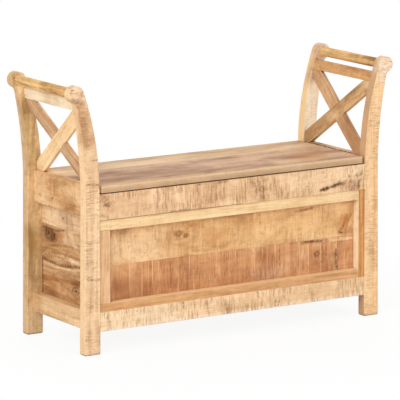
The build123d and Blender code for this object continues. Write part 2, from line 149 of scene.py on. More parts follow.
# The inner edge of the right strip, facing the key lamp, is painted near white as painted light
STRIP_RUST = grain_look((224, 170, 110), (206, 148, 90), (172, 114, 62), blotch=0.2,
                        face=(-X, rgb(242, 223, 189), 0.95))
LID_BROWN = grain_look((202, 164, 134), (176, 138, 110), (132, 96, 74), saw=0.05, mottle=0.9, blotch=0.1,
                       streaks=0.3, rings=0.25, stretch=0.4, stripes=0.0, face=(-Y, TAN, 0.75))
LID_PALE = grain_look((230, 198, 160), (212, 178, 140), (174, 138, 104), saw=0.05, mottle=0.8, blotch=0.1,
                      stretch=0.4, stripes=0.0)
BRACE_PALE = grain_look((245, 217, 172), (237, 203, 156), (215, 173, 122), blotch=0.1)
BRACE_BROWN = grain_look((220, 180, 140), (196, 155, 117), (162, 122, 86))
BRACE_OLIVE = grain_look((232, 196, 148), (212, 172, 124), (160, 120, 78), mottle=0.9, blotch=0.4)
BRACE_TAN = grain_look((234, 194, 150), (212, 168, 126), (166, 122, 86), mottle=0.8, blotch=0.4)
ARM_PALE = grain_look((244, 224, 193), (236, 214, 181), (208, 180, 143), mottle=0.6)
ARM_TAN = grain_look((220, 172, 120), (198, 148, 98), (154, 106, 66), mottle=0.8)
BAR = grain_look((234, 194, 136), (214, 170, 114), (156, 114, 68), saw=0.05, mottle=0.8, rings=0.5)
INSIDE = Look((236, 200, 156), (216, 178, 134), (182, 140, 100), saw=0.5)


class Graph:
    """Adds nodes to the tree of one material or world and links them."""

    def __init__(self, owner, output):
        owner.use_nodes = True
        self.owner = owner
        self.tree = owner.node_tree
        self.tree.nodes.clear()
        self.output = self.node(output)

    def node(self, kind, **settings):
        made = self.tree.nodes.new(kind)
        for key, value in settings.items():
            setattr(made, key, value)
        return made

    def feed(self, socket, value):
        if isinstance(value, bpy.types.NodeSocket):
            self.tree.links.new(value, socket)
        else:
            socket.default_value = value

    def math(self, operation, first, second=0.0, clamp=False):
        made = self.node("ShaderNodeMath", operation=operation, use_clamp=clamp)
        self.feed(made.inputs[0], first)
        self.feed(made.inputs[1], second)
        return made.outputs[0]

    def vector(self, operation, first, second=(0.0, 0.0, 0.0), third=(0.0, 0.0, 0.0)):
        made = self.node("ShaderNodeVectorMath", operation=operation)
        self.feed(made.inputs[0], first)
        self.feed(made.inputs[1], second)
        if operation == "MULTIPLY_ADD":
            self.feed(made.inputs[2], third)
        gives_number = operation in ("DOT_PRODUCT", "LENGTH", "DISTANCE")
        return made.outputs["Value" if gives_number else "Vector"]

    def scaled(self, vector, amount):
        made = self.node("ShaderNodeVectorMath", operation="SCALE")
        self.feed(made.inputs[0], vector)
        self.feed(made.inputs["Scale"], amount)
        return made.outputs["Vector"]

    def joined(self, *parts):
        made = self.node("ShaderNodeCombineXYZ")
        for socket, part in zip(made.inputs, parts):
            self.feed(socket, part)
        return made.outputs[0]

    def noise(self, place, scale, seed, detail=2.0, distortion=0.0, colour=False):
        """Noise over a place stretched by scale, one number for each axis."""
        made = self.node("ShaderNodeTexNoise")
        offset = [seed * step for step in SEED_STEPS]
        self.feed(made.inputs["Vector"], self.vector("MULTIPLY_ADD", place, scale, offset))
        made.inputs["Scale"].default_value = 1.0
        made.inputs["Detail"].default_value = detail
        made.inputs["Distortion"].default_value = distortion
        return made.outputs["Color" if colour else "Fac"]

    def span(self, value, low, high, to_low=0.0, to_high=1.0, smooth=False):
        made = self.node("ShaderNodeMapRange")
        made.interpolation_type = "SMOOTHSTEP" if smooth else "LINEAR"
        for socket, entry in zip(made.inputs, (value, low, high, to_low, to_high)):
            self.feed(socket, entry)
        return made.outputs[0]

    def ramp(self, value, stops):
        made = self.node("ShaderNodeValToRGB")
        self.feed(made.inputs[0], value)
        points = made.color_ramp.elements
        while len(points) < len(stops):
            points.new(1.0)
        for point, (position, colour) in zip(points, stops):
            point.position = position
            point.color = colour
        return made.outputs[0]

    def mix(self, share, first, second, blend="MIX"):
        made = self.node("ShaderNodeMix", data_type="RGBA", blend_type=blend)
        colours = [socket for socket in made.inputs if socket.type == "RGBA"]
        self.feed(made.inputs[0], share)
        self.feed(colours[0], first)
        self.feed(colours[1], second)
        return [socket for socket in made.outputs if socket.type == "RGBA"][0]

    def board_place(self, along, across):
        """The board's own coordinates in metres: along the grain, across it and through the board."""
        place = self.node("ShaderNodeTexCoord").outputs["Object"]
        axes = (along, across, along.cross(across))
        return place, self.joined(*[self.vector("DOT_PRODUCT", place, axis) for axis in axes])

    def edge_wear(self, radius):
        """About 0 on flat faces, and more along the arrises."""
        bevel = self.node("ShaderNodeBevel", samples=4)
        bevel.inputs["Radius"].default_value = radius
        normal = self.node("ShaderNodeNewGeometry").outputs["Normal"]
        return self.math("SUBTRACT", 1.0, self.vector("DOT_PRODUCT", bevel.outputs[0], normal), clamp=True)

    def corner_shade(self, reach):
        """Painted shade: about 0 in the open, and more in corners and gaps narrower than reach."""
        corner = self.node("ShaderNodeAmbientOcclusion", samples=6)
        corner.inputs["Distance"].default_value = reach
        return self.math("SUBTRACT", 1.0, corner.outputs["AO"], clamp=True)

    def bump(self, height, strength, depth):
        made = self.node("ShaderNodeBump")
        made.inputs["Strength"].default_value = strength
        made.inputs["Distance"].default_value = depth
        self.feed(made.inputs["Height"], height)
        return made.outputs[0]

    def mix_shader(self, share, first, second):
        made = self.node("ShaderNodeMixShader")
        for socket, entry in zip(made.inputs, (share, first, second)):
            self.feed(socket, entry)
        return made.outputs[0]

    def principled(self, **settings):
        made = self.node("ShaderNodeBsdfPrincipled")
        for key, value in settings.items():
            self.feed(made.inputs[key.replace("_", " ")], value)
        return made.outputs[0]

    def finish(self, shader):
        """Takes the shader to the output, and gives the material or world."""
        self.feed(self.output.inputs["Surface"], shader)
        return self.owner


def material_graph(name):
    return Graph(bpy.data.materials.new(name), "ShaderNodeOutputMaterial")


class Stroke:
    """A ragged, broken line or spot of another colour, from start to end."""

    def __init__(self, start, end, reach, colour, strength, soft=False, ragged=1.0):
        self.start = start
        self.line = end - start
        self.reach = reach
        self.colour = colour
        self.strength = strength
        self.soft = soft
        self.ragged = ragged

    def mask(self, graph, place, seed):
        ragged = graph.noise(place, (MARK_RAGGED / self.reach,) * 3, seed, detail=4.0, colour=True)
        ragged = graph.vector("SUBTRACT", ragged, MIDDLE)
        moved = graph.vector("ADD", place, graph.scaled(ragged, self.reach * MARK_WANDER * self.ragged))
        from_start = graph.vector("SUBTRACT", moved, self.start)
        along = graph.vector("DOT_PRODUCT", from_start, self.line)
        share = graph.math("MULTIPLY", along, 1 / max(self.line.length_squared, TINY), clamp=True)
        distance = graph.vector("DISTANCE", from_start, graph.scaled(tuple(self.line), share))
        least = TINT_LEAST if self.soft else MARK_LEAST
        gaps = graph.noise(place, MARK_BREAK_SCALE, seed + 1, detail=2.0)
        broken = graph.span(gaps, *MARK_BREAK_RANGE, least, 1.0)
        return graph.math("MULTIPLY", graph.span(distance, self.reach, 0.0, smooth=True), broken)


class Knot:
    """Uneven rings round a centre, darkest in the middle, that fade out at the radii."""

    soft = False

    def __init__(self, centre, sizes, rings, core, colour, strength):
        self.centre = centre
        self.shares = Vector([1 / size if size else 0.0 for size in sizes])
        self.rings = rings
        self.core = core
        self.colour = colour
        self.strength = strength

    def mask(self, graph, place, seed):
        offset = graph.vector("MULTIPLY", graph.vector("SUBTRACT", place, self.centre), self.shares)
        wobble = graph.noise(offset, (KNOT_WOBBLE_SCALE,) * 3, seed, detail=3.0)
        wobble = graph.math("MULTIPLY", graph.math("SUBTRACT", wobble, 0.5), KNOT_WOBBLE)
        distance = graph.math("ADD", graph.vector("LENGTH", offset), wobble)
        wave = graph.math("SINE", graph.math("MULTIPLY", distance, self.rings * 2 * math.pi))
        rings = graph.span(wave, *KNOT_RING_RANGE)
        fading = graph.math("MULTIPLY", rings, graph.span(distance, *KNOT_FADE, smooth=True))
        core = graph.math("MULTIPLY", graph.span(distance, *KNOT_CORE_FADE, smooth=True), self.core)
        return graph.math("MAXIMUM", fading, core)


class Face:
    """Sets marks on one face of a board, by two coordinates in metres."""

    def __init__(self, first, second, base):
        self.first = first
        self.second = second
        self.base = base

    def point(self, a, b):
        return self.first * a + self.second * b + self.base

    def path(self, points, reach, colour, strength, soft=False):
        """A ragged and broken line through the points."""
        ends = [self.point(*point) for point in points]
        return [Stroke(start, end, reach, colour, strength, soft) for start, end in zip(ends, ends[1:])]

    def tint(self, points, reach, colour, strength):
        """A soft and hardly broken area of another tone."""
        return self.path(points, reach, colour, strength, soft=True)

    def band(self, start, end, reach, colour, strength):
        """A straight and nearly even stripe of another tone, as along an edge; here used for painted
        highlights and painted shade lines.
        """
        ends = (self.point(*start), self.point(*end))
        return [Stroke(*ends, reach, colour, strength, soft=True, ragged=BAND_RAGGED)]

    def knot(self, a, b, wide, tall, rings, colour, strength, core=1.0):
        """Rings round a point, as wide and as tall as these radii."""
        sizes = self.first * wide + self.second * tall
        return [Knot(self.point(a, b), sizes, rings, core, colour, strength)]


def front_face(node):
    return Face(X, Z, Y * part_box(node)[0].y)


def left_face(node):
    return Face(Y, Z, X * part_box(node)[0].x)


def top_face(node):
    return Face(X, Y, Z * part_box(node)[1].z)


# Scales of the wood's patterns, per metre along the grain, across it and through the board
WARP_SCALE = (3.0, 10.0, 10.0)
MOTTLE_SCALE = Vector((8.0, 22.0, 22.0))
STRIPE_SCALE = (42.0, 1.5, 1.5)
RIDGE_SCALE = (140.0, 3.0, 3.0)
STREAK_SCALE = (5.0, 120.0, 120.0)
BLOTCH_SCALE = (52.0, 70.0, 70.0)
FIBRE_SCALE = (14.0, 420.0, 420.0)
PORE_SCALE = (70.0, 700.0, 700.0)
LONG_SAW_SCALE = (150.0, 11.0, 11.0)
SAW_PATCH_SCALE = (18.0, 26.0, 26.0)
SPECK_SCALE = (130.0, 210.0, 210.0)
RING_SCALE = (110.0, 34.0, 0.0)

# Where the pith lies from the board's middle, and how far patterns wander, in metres
PITH = (0.0, 0.045, -0.13)
PITH_SLANT = (0.02, 1.0, 1.0)
WARP_REACH = (0.0, 0.035, 0.035)
SAW_WANDER = (0.005, 0.0, 0.0)

# Noise levels from which and up to which each pattern comes in
BLOTCH_RANGE = (0.50, 0.70)
PORE_RANGE = (0.58, 0.72)
SPECK_RANGE = (0.70, 0.78)
RIDGE_RANGE = (0.60, 0.68)
SAW_PATCH_RANGE = (0.38, 0.60)
FINE_SAW_RANGE = (0.44, 0.62)
LONG_SAW_RANGE = (0.58, 0.70)

# How strong the patterns are
TONE_GAIN = 2.6
SAW_PATCH_LEAST = 0.20
SAW_SHARE = 0.66
PORE_SHARE = 0.2
SPECK_SHARE = 0.5

# One face of a board that differs in tone, the wood's own on most boards, painted light on the strips and
# painted shade on the front right post, by how squarely it faces that way, and its share of the saw marks
FACE_RANGE = (0.5, 0.9)
PLANED_SAW = 0.3

# Worn arrises, and painted shade in the corners and gaps
WEAR_RADIUS = 0.003
WEAR_RANGE = (0.02, 0.25)
WEAR_PATCH_RANGE = (0.35, 0.6)
WEAR_SHARE = 0.45
CORNER_SHADE_REACH = 0.007
CORNER_SHADE_RANGE = (0.45, 0.95)
CORNER_SHADE_SHARE = 0.75

# Surface of the wood
TONE_RANGE = (0.2, 0.8)
DARK_ROUGHNESS = 0.9
LIGHT_ROUGHNESS = 0.72
WOOD_IOR = 1.3
WOOD_SPECULAR = 0.15
FIBRE_HEIGHT = 0.5
PORE_DEPTH = 0.4
BUMP_STRENGTH = 0.45
BUMP_DEPTH = 0.0008

# Marks and knots given one by one
MARK_RAGGED = 0.9
MARK_WANDER = 1.6
BAND_RAGGED = 0.2
MARK_BREAK_SCALE = (150.0, 150.0, 150.0)
MARK_BREAK_RANGE = (0.36, 0.56)
MARK_LEAST = 0.25
TINT_LEAST = 0.75
KNOT_WOBBLE_SCALE = 1.6
KNOT_WOBBLE = 0.9
KNOT_RING_RANGE = (-0.2, 0.8)
KNOT_FADE = (1.0, 0.3)
KNOT_CORE_FADE = (0.34, 0.12)

# Painted shade round the feet, for their contact shadow, between these distances from the bench's middle
FOOT_INNER = 0.4285
FOOT_OUTER = 0.473
FOOT_SHADE_REACH = 0.006
FOOT_SHADE_SHARE = 0.6

# Metal
CLOUD_SCALE = (160.0, 160.0, 160.0)
STAIN_RANGE = (0.42, 0.66)
SCRATCH_SCALE = (90.0, 2200.0, 2200.0)
SCRATCH_RANGE = (0.3, 0.7)
POLISHED = -0.08
SCRATCHED = 0.12
METAL_BUMP_STRENGTH = 0.2
METAL_BUMP_DEPTH = 0.0001

# Noise
SEED_STEPS = (7.31, 3.77, 5.13)
MIDDLE = (0.5, 0.5, 0.5)
TINY = 1e-8


def saw_marks(graph, board, warp, look, seed):
    """Fine and long saw marks across the board, in patches."""
    place = graph.vector("MULTIPLY_ADD", warp, SAW_WANDER, board)
    patch_noise = graph.noise(board, SAW_PATCH_SCALE, seed, detail=2.0)
    fine_noise = graph.noise(place, look.saw_scale, seed + 1, detail=2.0)
    long_noise = graph.noise(place, LONG_SAW_SCALE, seed + 2, detail=3.0)
    patch = graph.span(patch_noise, *SAW_PATCH_RANGE, SAW_PATCH_LEAST, 1.0)
    fine = graph.span(fine_noise, *FINE_SAW_RANGE)
    long = graph.span(long_noise, *LONG_SAW_RANGE, 0.0, look.long_saw)
    marks = graph.math("MULTIPLY", graph.math("MAXIMUM", fine, long), patch)
    return graph.math("MULTIPLY", marks, look.saw)


def board_tone(graph, board, bent, look, seed):
    """The tone, from dark at 0 to light at 1, and the mottle and the fibre in it."""
    # Growth rings are bands round a pith line that lies behind the board
    from_pith = graph.vector("SUBTRACT", bent, PITH)
    radius = graph.vector("LENGTH", graph.vector("MULTIPLY", from_pith, PITH_SLANT))
    rings = graph.noise(graph.joined(radius, radius, radius), RING_SCALE, seed, detail=3.0)
    mottle = graph.noise(bent, MOTTLE_SCALE * look.stretch, seed + 1, detail=4.0, distortion=0.5)
    stripes = graph.noise(board, STRIPE_SCALE, seed + 7, detail=3.0)
    streaks = graph.noise(bent, STREAK_SCALE, seed + 9, detail=2.0)
    fibre = graph.noise(bent, FIBRE_SCALE, seed + 2, detail=2.0)
    tone = 0.5
    for pattern, strength in ((mottle, look.mottle), (stripes, look.stripes), (streaks, look.streaks),
                              (rings, look.rings), (fibre, look.fibre)):
        swing = graph.math("MULTIPLY", graph.math("SUBTRACT", pattern, 0.5), strength * TONE_GAIN)
        tone = graph.math("ADD", swing, tone)
    return tone, mottle, fibre


def planed_face_and_painted_light(graph, colour, saw, face):
    """Gives the face that looks one way another colour and fainter saw marks; the colour is the wood's own on
    most boards, painted light on the strips and painted shade on the front right post.
    """
    direction, face_colour, share = face
    facing = graph.vector("DOT_PRODUCT", graph.node("ShaderNodeTexCoord").outputs["Normal"], direction)
    colour = graph.mix(graph.span(facing, *FACE_RANGE, 0.0, share), colour, face_colour)
    return colour, graph.math("MULTIPLY", saw, graph.span(facing, *FACE_RANGE, 1.0, PLANED_SAW))


def worn_and_shaded(graph, colour, mottle):
    """Pale along the arrises, in patches, as wear, and darker in the corners and gaps as painted shade."""
    patch = graph.span(mottle, *WEAR_PATCH_RANGE)
    wear = graph.math("MULTIPLY", graph.edge_wear(WEAR_RADIUS), patch, clamp=True)
    colour = graph.mix(graph.span(wear, *WEAR_RANGE, 0.0, WEAR_SHARE), colour, PALE)
    # Painted shade in corners and narrow gaps, from ambient occlusion
    painted_shade = graph.span(graph.corner_shade(CORNER_SHADE_REACH), *CORNER_SHADE_RANGE, 0.0, CORNER_SHADE_SHARE)
    return graph.mix(painted_shade, colour, SHADE_BROWN)


def marked(graph, colour, place, marks, seed):
    for number, mark in enumerate(marks):
        mask = mark.mask(graph, place, seed + number)
        colour = graph.mix(graph.math("MULTIPLY", mask, mark.strength), colour, mark.colour)
    return colour


def wood(name, look, along, across, seed, marks=()):
    graph = material_graph(name)
    place, board = graph.board_place(along, across)
    warp = graph.vector("SUBTRACT", graph.noise(board, WARP_SCALE, seed, colour=True), MIDDLE)
    bent = graph.vector("MULTIPLY_ADD", warp, WARP_REACH, board)
    tone, mottle, fibre = board_tone(graph, board, bent, look, seed)
    blotch = graph.span(graph.noise(bent, BLOTCH_SCALE, seed + 8, detail=5.0), *BLOTCH_RANGE)
    pores = graph.span(graph.noise(bent, PORE_SCALE, seed + 3, detail=1.0), *PORE_RANGE)
    specks = graph.span(graph.noise(board, SPECK_SCALE, seed + 4, detail=1.0), *SPECK_RANGE)
    ridges = graph.span(graph.noise(board, RIDGE_SCALE, seed + 10, detail=1.0), *RIDGE_RANGE)
    saw = saw_marks(graph, board, warp, look, seed + 5)

    colour = graph.ramp(tone, [(0.0, look.dark), (0.5, look.middle), (1.0, look.light)])
    if look.face:
        colour, saw = planed_face_and_painted_light(graph, colour, saw, look.face)
    colour = marked(graph, colour, place, [mark for mark in marks if mark.soft], seed)
    for pattern, share, other in ((blotch, look.blotch, look.dark), (saw, SAW_SHARE, look.saw_colour),
                                  (ridges, look.ridges, look.light), (pores, PORE_SHARE, look.dark),
                                  (specks, SPECK_SHARE, UMBER)):
        colour = graph.mix(graph.math("MULTIPLY", pattern, share), colour, other)
    colour = marked(graph, colour, place, [mark for mark in marks if not mark.soft], seed)
    colour = worn_and_shaded(graph, colour, mottle)

    roughness = graph.span(tone, *TONE_RANGE, DARK_ROUGHNESS, LIGHT_ROUGHNESS)
    height = graph.math("SUBTRACT", graph.math("MULTIPLY", fibre, FIBRE_HEIGHT), saw)
    height = graph.math("SUBTRACT", height, graph.math("MULTIPLY", pores, PORE_DEPTH))
    normal = graph.bump(height, BUMP_STRENGTH, BUMP_DEPTH)
    return graph.finish(graph.principled(Base_Color=colour, Roughness=roughness, Normal=normal, IOR=WOOD_IOR,
                                         Specular_IOR_Level=WOOD_SPECULAR))


def metal(name, clean, tarnish, roughness, seed):
    graph = material_graph(name)
    place = graph.node("ShaderNodeTexCoord").outputs["Object"]
    cloud = graph.noise(place, CLOUD_SCALE, seed, detail=4.0)
    scratch = graph.noise(place, SCRATCH_SCALE, seed + 1, detail=2.0)
    colour = graph.mix(graph.span(cloud, *STAIN_RANGE), clean, tarnish)
    polish = graph.span(scratch, *SCRATCH_RANGE, roughness + POLISHED, roughness + SCRATCHED)
    normal = graph.bump(scratch, METAL_BUMP_STRENGTH, METAL_BUMP_DEPTH)
    return graph.finish(graph.principled(Base_Color=colour, Roughness=polish, Normal=normal, Metallic=1.0))


def top_rail_marks():
    face = front_face("rail_front_top")
    low_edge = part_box("rail_front_top")[0].z
    return [
        # Painted shade line along the rail's lower edge, where it meets the top strip
        *face.band((-0.425, low_edge), (0.020, low_edge), 0.004, CRACK_AND_GAP_SHADE, 0.9),
        *face.path([(0.190, 0.400), (0.390, 0.408)], 0.060, rgb(248, 216, 174), 0.55),
        *face.tint([(-0.130, 0.395), (0.080, 0.395)], 0.050, rgb(206, 164, 122), 0.4),
        *face.tint([(-0.400, 0.394), (-0.290, 0.394)], 0.050, rgb(210, 168, 126), 0.4),
        *face.path([(-0.418, 0.422), (-0.396, 0.400)], 0.024, UMBER, 0.75),
        *face.path([(-0.410, 0.400), (-0.398, 0.396)], 0.009, KNOT, 0.6),
        *face.path([(-0.418, 0.372), (-0.404, 0.366)], 0.012, UMBER, 0.55),
        *face.path([(-0.205, 0.361), (-0.145, 0.361)], 0.005, UMBER, 0.7),
        *face.path([(0.130, 0.400), (0.136, 0.372)], 0.016, UMBER, 0.45),
        *face.path([(-0.122, 0.420), (-0.113, 0.360)], 0.012, UMBER, 0.55),
        *face.path([(-0.118, 0.425), (-0.112, 0.423)], 0.006, KNOT, 0.7),
        *face.path([(-0.056, 0.424), (-0.022, 0.425)], 0.006, KNOT, 0.6),
        *face.path([(-0.076, 0.415), (-0.075, 0.372)], 0.004, UMBER, 0.6),
        *face.path([(-0.037, 0.418), (-0.036, 0.380)], 0.004, UMBER, 0.6),
        *face.path([(0.031, 0.412), (0.032, 0.370)], 0.003, KNOT, 0.6),
        *face.path([(0.066, 0.410), (0.090, 0.372)], 0.026, UMBER, 0.55),
        *face.path([(0.066, 0.402), (0.067, 0.374)], 0.004, KNOT, 0.6),
        *face.path([(0.078, 0.412), (0.079, 0.388)], 0.004, KNOT, 0.6),
        *face.path([(0.089, 0.416), (0.091, 0.366)], 0.004, KNOT, 0.7),
        *face.tint([(0.370, 0.412), (0.420, 0.410)], 0.034, rgb(252, 224, 190), 0.6),
        *face.tint([(-0.250, 0.402), (-0.190, 0.394)], 0.044, rgb(246, 212, 172), 0.55),
        *face.tint([(0.330, 0.376), (0.400, 0.374)], 0.020, ROSE, 0.45),
        *face.path([(0.279, 0.369), (0.300, 0.373), (0.325, 0.377), (0.348, 0.381)], 0.008, UMBER, 0.9),
        *face.path([(0.278, 0.3695), (0.298, 0.3725)], 0.009, KNOT, 1.0),
        *face.path([(0.282, 0.3705), (0.344, 0.3815)], 0.005, KNOT, 0.8),
        *face.path([(0.322, 0.379), (0.340, 0.384)], 0.009, KNOT, 0.8),
        *face.path([(0.352, 0.380), (0.362, 0.388)], 0.008, UMBER, 0.8),
        *face.path([(0.372, 0.400), (0.378, 0.384)], 0.009, UMBER, 0.8),
        *face.path([(0.383, 0.360), (0.390, 0.374)], 0.010, GREY, 0.9),
        *face.path([(0.404, 0.364), (0.406, 0.384)], 0.008, KNOT, 0.7),
        *face.path([(0.396, 0.398), (0.414, 0.405)], 0.010, UMBER, 0.8),
    ]


def low_rail_marks():
    face = front_face("rail_front_low")
    return [
        *face.tint([(-0.400, 0.090), (-0.220, 0.090)], 0.060, rgb(244, 222, 189), 0.5),
        *face.tint([(0.140, 0.090), (0.400, 0.090)], 0.060, rgb(220, 180, 134), 0.5),
        *face.path([(-0.400, 0.098), (-0.396, 0.066)], 0.010, UMBER, 0.5),
        *face.path([(-0.205, 0.104), (-0.203, 0.080)], 0.006, UMBER, 0.55),
        *face.path([(-0.167, 0.108), (-0.165, 0.098)], 0.006, KNOT, 0.7),
        *face.path([(-0.092, 0.104), (-0.086, 0.070)], 0.010, ROSE, 0.5),
        *face.path([(-0.040, 0.100), (-0.020, 0.070)], 0.016, UMBER, 0.45),
        *face.path([(-0.027, 0.076), (-0.024, 0.066)], 0.006, KNOT, 0.6),
        *face.path([(0.073, 0.108), (0.075, 0.096)], 0.005, KNOT, 0.6),
        *face.path([(0.086, 0.092), (0.087, 0.070)], 0.005, UMBER, 0.5),
        *face.path([(0.128, 0.066), (0.131, 0.078)], 0.006, KNOT, 0.75),
        *face.path([(0.140, 0.066), (0.141, 0.076)], 0.005, KNOT, 0.7),
        *face.path([(0.158, 0.104), (0.159, 0.080)], 0.005, UMBER, 0.6),
        *face.path([(0.240, 0.104), (0.250, 0.076)], 0.012, UMBER, 0.25),
        *face.tint([(-0.430, 0.061), (0.430, 0.061)], 0.014, rgb(254, 234, 208), 0.6),
    ]


def upper_panel_marks():
    face = front_face("panel_front_upper")
    return [
        *face.tint([(-0.380, 0.270), (-0.250, 0.262)], 0.085, rgb(234, 200, 158), 0.8),
        *face.tint([(-0.070, 0.285), (0.040, 0.285)], 0.080, rgb(200, 146, 92), 0.65),
        *face.tint([(0.200, 0.270), (0.330, 0.275)], 0.075, rgb(240, 194, 138), 0.65),
        *face.tint([(-0.210, 0.262), (-0.130, 0.268)], 0.050, rgb(200, 152, 102), 0.55),
        # Painted light along the panel's top, lifting the shade under the top strip
        *face.tint([(0.060, 0.314), (0.220, 0.316)], 0.024, rgb(232, 184, 130), 0.6),
        *face.tint([(0.110, 0.270), (0.140, 0.262)], 0.040, rgb(240, 194, 138), 0.6),
        *face.path([(-0.372, 0.318), (-0.322, 0.322)], 0.018, UMBER, 0.35),
        *face.path([(-0.345, 0.316), (-0.346, 0.250)], 0.005, UMBER, 0.45),
        *face.path([(-0.238, 0.312), (-0.237, 0.284)], 0.004, UMBER, 0.6),
        *face.path([(-0.186, 0.326), (-0.184, 0.304)], 0.004, UMBER, 0.6),
        *face.knot(-0.150, 0.284, 0.070, 0.040, 2.0, UMBER, 0.25, core=0.0),
        *face.knot(-0.163, 0.292, 0.018, 0.014, 0.5, UMBER, 0.8, core=0.2),
        *face.knot(-0.141, 0.284, 0.013, 0.010, 0.5, UMBER, 0.9, core=0.7),
        *face.path([(-0.146, 0.309), (-0.090, 0.315)], 0.018, RUST, 0.6),
        *face.path([(-0.128, 0.309), (-0.112, 0.313)], 0.008, UMBER, 0.55),
        *face.path([(-0.052, 0.322), (-0.050, 0.250)], 0.008, RUST, 0.35),
        *face.path([(0.020, 0.300), (0.060, 0.318)], 0.020, UMBER, 0.25),
        *face.path([(0.213, 0.313), (0.240, 0.3145), (0.268, 0.317)], 0.006, UMBER, 0.95),
        *face.tint([(0.364, 0.244), (0.376, 0.270), (0.398, 0.300)], 0.028, rgb(186, 126, 74), 0.5),
        *face.path([(0.365, 0.244), (0.376, 0.270), (0.400, 0.312)], 0.024, RUST, 0.35),
        *face.path([(0.358, 0.240), (0.372, 0.256), (0.384, 0.284)], 0.007, UMBER, 0.8),
        *face.path([(0.380, 0.244), (0.388, 0.270), (0.402, 0.292)], 0.006, UMBER, 0.7),
        *face.path([(0.392, 0.240), (0.404, 0.262)], 0.006, ROSE, 0.7),
        *face.knot(0.366, 0.238, 0.008, 0.007, 1.2, KNOT, 0.9),
    ]


def lower_panel_marks():
    face = front_face("panel_front_lower")
    return [
        *face.tint([(-0.376, 0.212), (-0.330, 0.206)], 0.040, rgb(214, 160, 112), 0.6),
        *face.tint([(-0.350, 0.165), (-0.270, 0.158)], 0.050, rgb(156, 102, 66), 0.7),
        *face.tint([(-0.250, 0.160), (-0.170, 0.154)], 0.034, rgb(166, 110, 72), 0.6),
        *face.tint([(0.115, 0.205), (0.130, 0.175)], 0.044, rgb(156, 98, 62), 0.6),
        *face.tint([(0.110, 0.146), (0.180, 0.150)], 0.024, rgb(206, 168, 142), 0.5),
        *face.tint([(0.290, 0.175), (0.310, 0.140)], 0.040, rgb(156, 102, 70), 0.6),
        *face.path([(-0.190, 0.215), (-0.188, 0.150)], 0.006, SAW_RED, 0.5),
        *face.path([(0.055, 0.156), (0.130, 0.130)], 0.026, ROSE, 0.5),
        *face.path([(0.100, 0.180), (0.098, 0.140)], 0.012, GREY, 0.35),
        *face.path([(0.234, 0.223), (0.318, 0.222)], 0.009, UMBER, 0.8),
        *face.path([(0.245, 0.224), (0.300, 0.223)], 0.005, CRACK_AND_GAP_SHADE, 0.8),
        *face.tint([(0.336, 0.2195), (0.404, 0.2205)], 0.008, PALE, 0.7),
        *face.path([(0.300, 0.216), (0.302, 0.164)], 0.004, SAW_RED, 0.6),
        *face.path([(0.315, 0.212), (0.316, 0.178)], 0.004, SAW_RED, 0.6),
        *face.path([(0.160, 0.214), (0.162, 0.170)], 0.004, CRACK_AND_GAP_SHADE, 0.5),
        *face.path([(-0.010, 0.210), (-0.008, 0.160)], 0.004, CRACK_AND_GAP_SHADE, 0.4),
        *face.knot(0.285, 0.187, 0.014, 0.014, 0.5, SAW_RED, 0.8, core=0.2),
        *face.path([(0.344, 0.174), (0.352, 0.138)], 0.018, GREY, 0.45),
        *face.path([(0.347, 0.190), (0.352, 0.134)], 0.007, CRACK_AND_GAP_SHADE, 0.75),
        *face.path([(0.304, 0.212), (0.306, 0.160)], 0.006, SAW_RED, 0.5),
        *face.path([(0.335, 0.213), (0.404, 0.214)], 0.004, UMBER, 0.5),
    ]


def seat_end_marks():
    face = left_face("rail_seat_end_left")
    return [
        *face.path([(0.125, 0.386), (0.090, 0.380)], 0.028, PALE, 0.45),
        *face.path([(0.064, 0.424), (0.000, 0.396)], 0.034, RUST, 0.35),
        *face.path([(0.050, 0.440), (0.048, 0.405)], 0.006, UMBER, 0.5),
        *face.path([(0.030, 0.436), (0.028, 0.400)], 0.006, UMBER, 0.5),
        *face.knot(0.037, 0.390, 0.010, 0.010, 1.2, KNOT, 0.6),
        *face.path([(0.056, 0.364), (0.044, 0.362)], 0.008, KNOT, 0.6),
    ]


def end_upper_marks():
    face = left_face("panel_left_upper")
    return [
        *face.tint([(0.100, 0.334), (0.060, 0.336)], 0.030, PALE, 0.5),
        *face.tint([(0.036, 0.336), (-0.010, 0.332)], 0.024, GREY, 0.4),
        *face.knot(0.026, 0.333, 0.016, 0.011, 1.2, UMBER, 0.8),
        *face.path([(0.004, 0.350), (0.002, 0.312)], 0.006, UMBER, 0.5),
        *face.path([(-0.020, 0.350), (-0.024, 0.312)], 0.006, UMBER, 0.5),
        *face.path([(0.130, 0.314), (0.060, 0.308)], 0.005, PALE, 0.7),
    ]


